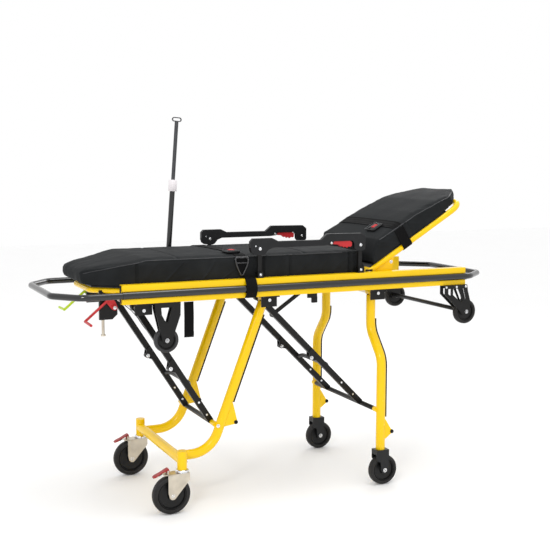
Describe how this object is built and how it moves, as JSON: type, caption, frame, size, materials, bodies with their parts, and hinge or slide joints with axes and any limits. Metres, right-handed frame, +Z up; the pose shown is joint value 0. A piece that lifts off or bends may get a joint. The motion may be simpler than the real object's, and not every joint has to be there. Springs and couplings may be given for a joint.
{
  "type": "stretcher trolley",
  "caption": "Wheeled ambulance stretcher with folding braced legs, tilting backrest, padded mattress, side guards, safety straps, loading wheels and infusion pole.",
  "frame": {"origin": "centre of the bounding box's base, on the ground", "axes": "+X towards the head end, +Y towards the patient's right side, +Z up"},
  "size_m": [1.8942, 0.632, 1.5205],
  "materials": {
    "yellow_paint": "satin",
    "black_paint": "satin",
    "black_tube": "satin",
    "zinc": "satin",
    "dark_steel": "satin",
    "white_plastic": "matte",
    "chrome": "polished",
    "black_plastic": "matte",
    "rubber_trim": "matte",
    "grey_tyre": "matte",
    "black_tyre": "matte",
    "mattress": "matte",
    "webbing": "matte",
    "red_plastic": "gloss",
    "green_plastic": "gloss",
    "grey_plastic": "matte"
  },
  "bodies": {
    "frame": {"side_rail_left": "yellow_paint", "side_rail_right": "yellow_paint", "bumper_tubes": "black_tube", "head_loop": "black_tube", "deck_frame": "yellow_paint", "deck_panel": "black_plastic", "cross_members": "black_tube", "pivot_shafts": "zinc", "pivot_brackets": "black_paint", "frame_bolts": "chrome", "loading_wheel_brackets": "black_tube", "transit_wheel_bracket": "black_tube", "lever_plates": "black_plastic", "docking_pin": "zinc", "pole_socket": "black_plastic", "pole_lower_tube": "black_tube", "hinge_blocks": "black_paint", "mattress_seat": "mattress", "lap_strap": "webbing", "lap_buckle": "black_plastic"},
    "foot_handle": {"foot_handle": "black_tube"},
    "red_lever": {"red_lever": "red_plastic"},
    "green_lever": {"green_lever": "green_plastic"},
    "lap_buckle_button": {"lap_buckle_button": "red_plastic"},
    "backrest": {"back_frame": "yellow_paint", "back_panel": "black_plastic", "mattress_back": "mattress", "chest_strap": "webbing", "chest_buckle": "black_plastic"},
    "chest_buckle_button": {"chest_buckle_button": "red_plastic"},
    "foot_legs": {"foot_leg_tubes": "yellow_paint", "foot_leg_beam": "yellow_paint", "foot_leg_trim": "rubber_trim"},
    "head_legs": {"head_leg_tubes": "yellow_paint", "head_leg_trim": "rubber_trim", "head_leg_forks": "black_tube"},
    "foot_brace_upper": {"foot_brace_upper": "black_tube"},
    "foot_brace_lower": {"foot_brace_lower": "black_tube"},
    "head_brace_upper": {"head_brace_upper": "black_tube"},
    "head_brace_lower": {"head_brace_lower": "black_tube"},
    "transit_wheel": {"transit_wheel": "grey_tyre"},
    "pole_upper": {"pole_upper_tube": "dark_steel"},
    "loading_wheel_left": {"loading_wheel_left": "black_tyre"},
    "head_wheel_left": {"head_wheel_left": "black_tyre"},
    "caster_fork_left": {"caster_fork_left": "zinc"},
    "caster_wheel_left": {"caster_wheel_left": "black_tyre"},
    "caster_pedal_left": {"caster_pedal_left": "red_plastic"},
    "guard_front_post_left": {"guard_front_post_left": "black_tube"},
    "guard_rear_post_left": {"guard_rear_post_left": "black_tube"},
    "guard_arm_left": {"guard_arm_left": "black_plastic"},
    "guard_trigger_left": {"guard_trigger_left": "red_plastic"},
    "loading_wheel_right": {"loading_wheel_right": "black_tyre"},
    "head_wheel_right": {"head_wheel_right": "black_tyre"},
    "caster_fork_right": {"caster_fork_right": "zinc"},
    "caster_wheel_right": {"caster_wheel_right": "black_tyre"},
    "caster_pedal_right": {"caster_pedal_right": "red_plastic"},
    "guard_front_post_right": {"guard_front_post_right": "black_tube"},
    "guard_rear_post_right": {"guard_rear_post_right": "black_tube"},
    "guard_arm_right": {"guard_arm_right": "black_plastic"},
    "guard_trigger_right": {"guard_trigger_right": "red_plastic"}
  },
  "joints": [
    {"name": "foot_handle_slide", "type": "slide", "parent": "frame", "child": "foot_handle", "axis": [-1, 0, 0], "range_m": [0, 0.12]},
    {"name": "red_lever_turn", "type": "hinge", "parent": "frame", "child": "red_lever", "pos_m": [-0.696, -0.166, 0.792], "axis": [0, 1, 0], "range_deg": [0, 20], "stiffness_Nm_per_rad": 3, "springref_deg": -8.59},
    {"name": "green_lever_turn", "type": "hinge", "parent": "frame", "child": "green_lever", "pos_m": [-0.696, 0.166, 0.792], "axis": [0, 1, 0], "range_deg": [0, 20], "stiffness_Nm_per_rad": 3, "springref_deg": -8.59},
    {"name": "lap_button_press", "type": "slide", "parent": "frame", "child": "lap_buckle_button", "axis": [0, 0, -1], "range_m": [0, 0.002], "stiffness_N_per_m": 400},
    {"name": "backrest_tilt", "type": "hinge", "parent": "frame", "child": "backrest", "pos_m": [0.352, 0, 0.88], "axis": [0, -1, 0], "range_deg": [-31, 44]},
    {"name": "chest_button_press", "type": "slide", "parent": "backrest", "child": "chest_buckle_button", "axis": [0.515, 0, -0.8572], "range_m": [0, 0.002], "stiffness_N_per_m": 400},
    {"name": "foot_leg_fold", "type": "hinge", "parent": "frame", "child": "foot_legs", "pos_m": [-0.1, 0, 0.797], "axis": [0, 1, 0], "range_deg": [0, 50]},
    {"name": "head_leg_fold", "type": "hinge", "parent": "frame", "child": "head_legs", "pos_m": [0.39, 0, 0.797], "axis": [0, 1, 0], "range_deg": [0, 80]},
    {"name": "foot_brace_upper_turn", "type": "hinge", "parent": "frame", "child": "foot_brace_upper", "pos_m": [-0.61, 0, 0.787], "axis": [0, 1, 0], "range_deg": [-48.4, 0]},
    {"name": "foot_brace_knee", "type": "hinge", "parent": "foot_brace_upper", "child": "foot_brace_lower", "pos_m": [-0.47433, 0, 0.5367], "axis": [0, 1, 0], "range_deg": [0, 158.6]},
    {"name": "head_brace_upper_turn", "type": "hinge", "parent": "frame", "child": "head_brace_upper", "pos_m": [-0.1, 0, 0.797], "axis": [0, 1, 0], "range_deg": [-24.5, 0]},
    {"name": "head_brace_knee", "type": "hinge", "parent": "head_brace_upper", "child": "head_brace_lower", "pos_m": [0.13592, 0, 0.52964], "axis": [0, 1, 0], "range_deg": [0, 177.1]},
    {"name": "transit_wheel_spin", "type": "hinge", "parent": "frame", "child": "transit_wheel", "pos_m": [-0.529, -0.27, 0.673], "axis": [0, 1, 0], "continuous": true},
    {"name": "pole_slide", "type": "slide", "parent": "frame", "child": "pole_upper", "axis": [0.0776, 0, 0.997], "range_m": [-0.24, 0]},
    {"name": "loading_wheel_spin_left", "type": "hinge", "parent": "frame", "child": "loading_wheel_left", "pos_m": [0.801, -0.281, 0.7], "axis": [0, 1, 0], "continuous": true},
    {"name": "head_wheel_spin_left", "type": "hinge", "parent": "head_legs", "child": "head_wheel_left", "pos_m": [0.401, -0.291, 0.0625], "axis": [0, 1, 0], "continuous": true},
    {"name": "caster_swivel_left", "type": "hinge", "parent": "foot_legs", "child": "caster_fork_left", "pos_m": [-0.47, -0.266, 0.158], "axis": [0, 0, 1], "continuous": true},
    {"name": "caster_wheel_spin_left", "type": "hinge", "parent": "caster_fork_left", "child": "caster_wheel_left", "pos_m": [-0.515, -0.266, 0.075], "axis": [0, 1, 0], "continuous": true},
    {"name": "caster_pedal_press_left", "type": "hinge", "parent": "caster_fork_left", "child": "caster_pedal_left", "pos_m": [-0.53, -0.266, 0.169], "axis": [0, -1, 0], "range_deg": [0, 15], "stiffness_Nm_per_rad": 4, "springref_deg": -5.73},
    {"name": "guard_fold_left", "type": "hinge", "parent": "frame", "child": "guard_front_post_left", "pos_m": [-0.147, -0.268, 0.901], "axis": [0, 1, 0], "range_deg": [0, 70]},
    {"name": "guard_rear_post_turn_left", "type": "hinge", "parent": "frame", "child": "guard_rear_post_left", "pos_m": [0.296, -0.268, 0.901], "axis": [0, 1, 0], "range_deg": [0, 70]},
    {"name": "guard_arm_turn_left", "type": "hinge", "parent": "guard_front_post_left", "child": "guard_arm_left", "pos_m": [-0.147, -0.268, 1.001], "axis": [0, 1, 0], "range_deg": [-70, 0]},
    {"name": "guard_trigger_pull_left", "type": "hinge", "parent": "guard_arm_left", "child": "guard_trigger_left", "pos_m": [0.163, -0.268, 1.013], "axis": [0, -1, 0], "range_deg": [0, 8], "stiffness_Nm_per_rad": 2, "springref_deg": -5.73},
    {"name": "loading_wheel_spin_right", "type": "hinge", "parent": "frame", "child": "loading_wheel_right", "pos_m": [0.801, 0.281, 0.7], "axis": [0, 1, 0], "continuous": true},
    {"name": "head_wheel_spin_right", "type": "hinge", "parent": "head_legs", "child": "head_wheel_right", "pos_m": [0.401, 0.291, 0.0625], "axis": [0, 1, 0], "continuous": true},
    {"name": "caster_swivel_right", "type": "hinge", "parent": "foot_legs", "child": "caster_fork_right", "pos_m": [-0.47, 0.266, 0.158], "axis": [0, 0, 1], "continuous": true},
    {"name": "caster_wheel_spin_right", "type": "hinge", "parent": "caster_fork_right", "child": "caster_wheel_right", "pos_m": [-0.515, 0.266, 0.075], "axis": [0, 1, 0], "continuous": true},
    {"name": "caster_pedal_press_right", "type": "hinge", "parent": "caster_fork_right", "child": "caster_pedal_right", "pos_m": [-0.53, 0.266, 0.169], "axis": [0, -1, 0], "range_deg": [0, 15], "stiffness_Nm_per_rad": 4, "springref_deg": -5.73},
    {"name": "guard_fold_right", "type": "hinge", "parent": "frame", "child": "guard_front_post_right", "pos_m": [-0.147, 0.268, 0.901], "axis": [0, 1, 0], "range_deg": [0, 70]},
    {"name": "guard_rear_post_turn_right", "type": "hinge", "parent": "frame", "child": "guard_rear_post_right", "pos_m": [0.296, 0.268, 0.901], "axis": [0, 1, 0], "range_deg": [0, 70]},
    {"name": "guard_arm_turn_right", "type": "hinge", "parent": "guard_front_post_right", "child": "guard_arm_right", "pos_m": [-0.147, 0.268, 1.001], "axis": [0, 1, 0], "range_deg": [-70, 0]},
    {"name": "guard_trigger_pull_right", "type": "hinge", "parent": "guard_arm_right", "child": "guard_trigger_right", "pos_m": [0.163, 0.268, 1.013], "axis": [0, -1, 0], "range_deg": [0, 8], "stiffness_Nm_per_rad": 2, "springref_deg": -5.73}
  ],
  "couplings": [
    {"joint": "foot_brace_upper_turn", "follows": "foot_leg_fold", "ratio": -0.95807},
    {"joint": "foot_brace_knee", "follows": "foot_leg_fold", "ratio": 3.1612},
    {"joint": "head_brace_upper_turn", "follows": "head_leg_fold", "ratio": -0.30055},
    {"joint": "head_brace_knee", "follows": "head_leg_fold", "ratio": 2.2072},
    {"joint": "guard_rear_post_turn_left", "follows": "guard_fold_left", "ratio": 1},
    {"joint": "guard_arm_turn_left", "follows": "guard_fold_left", "ratio": -1},
    {"joint": "guard_rear_post_turn_right", "follows": "guard_fold_right", "ratio": 1},
    {"joint": "guard_arm_turn_right", "follows": "guard_fold_right", "ratio": -1}
  ]
}
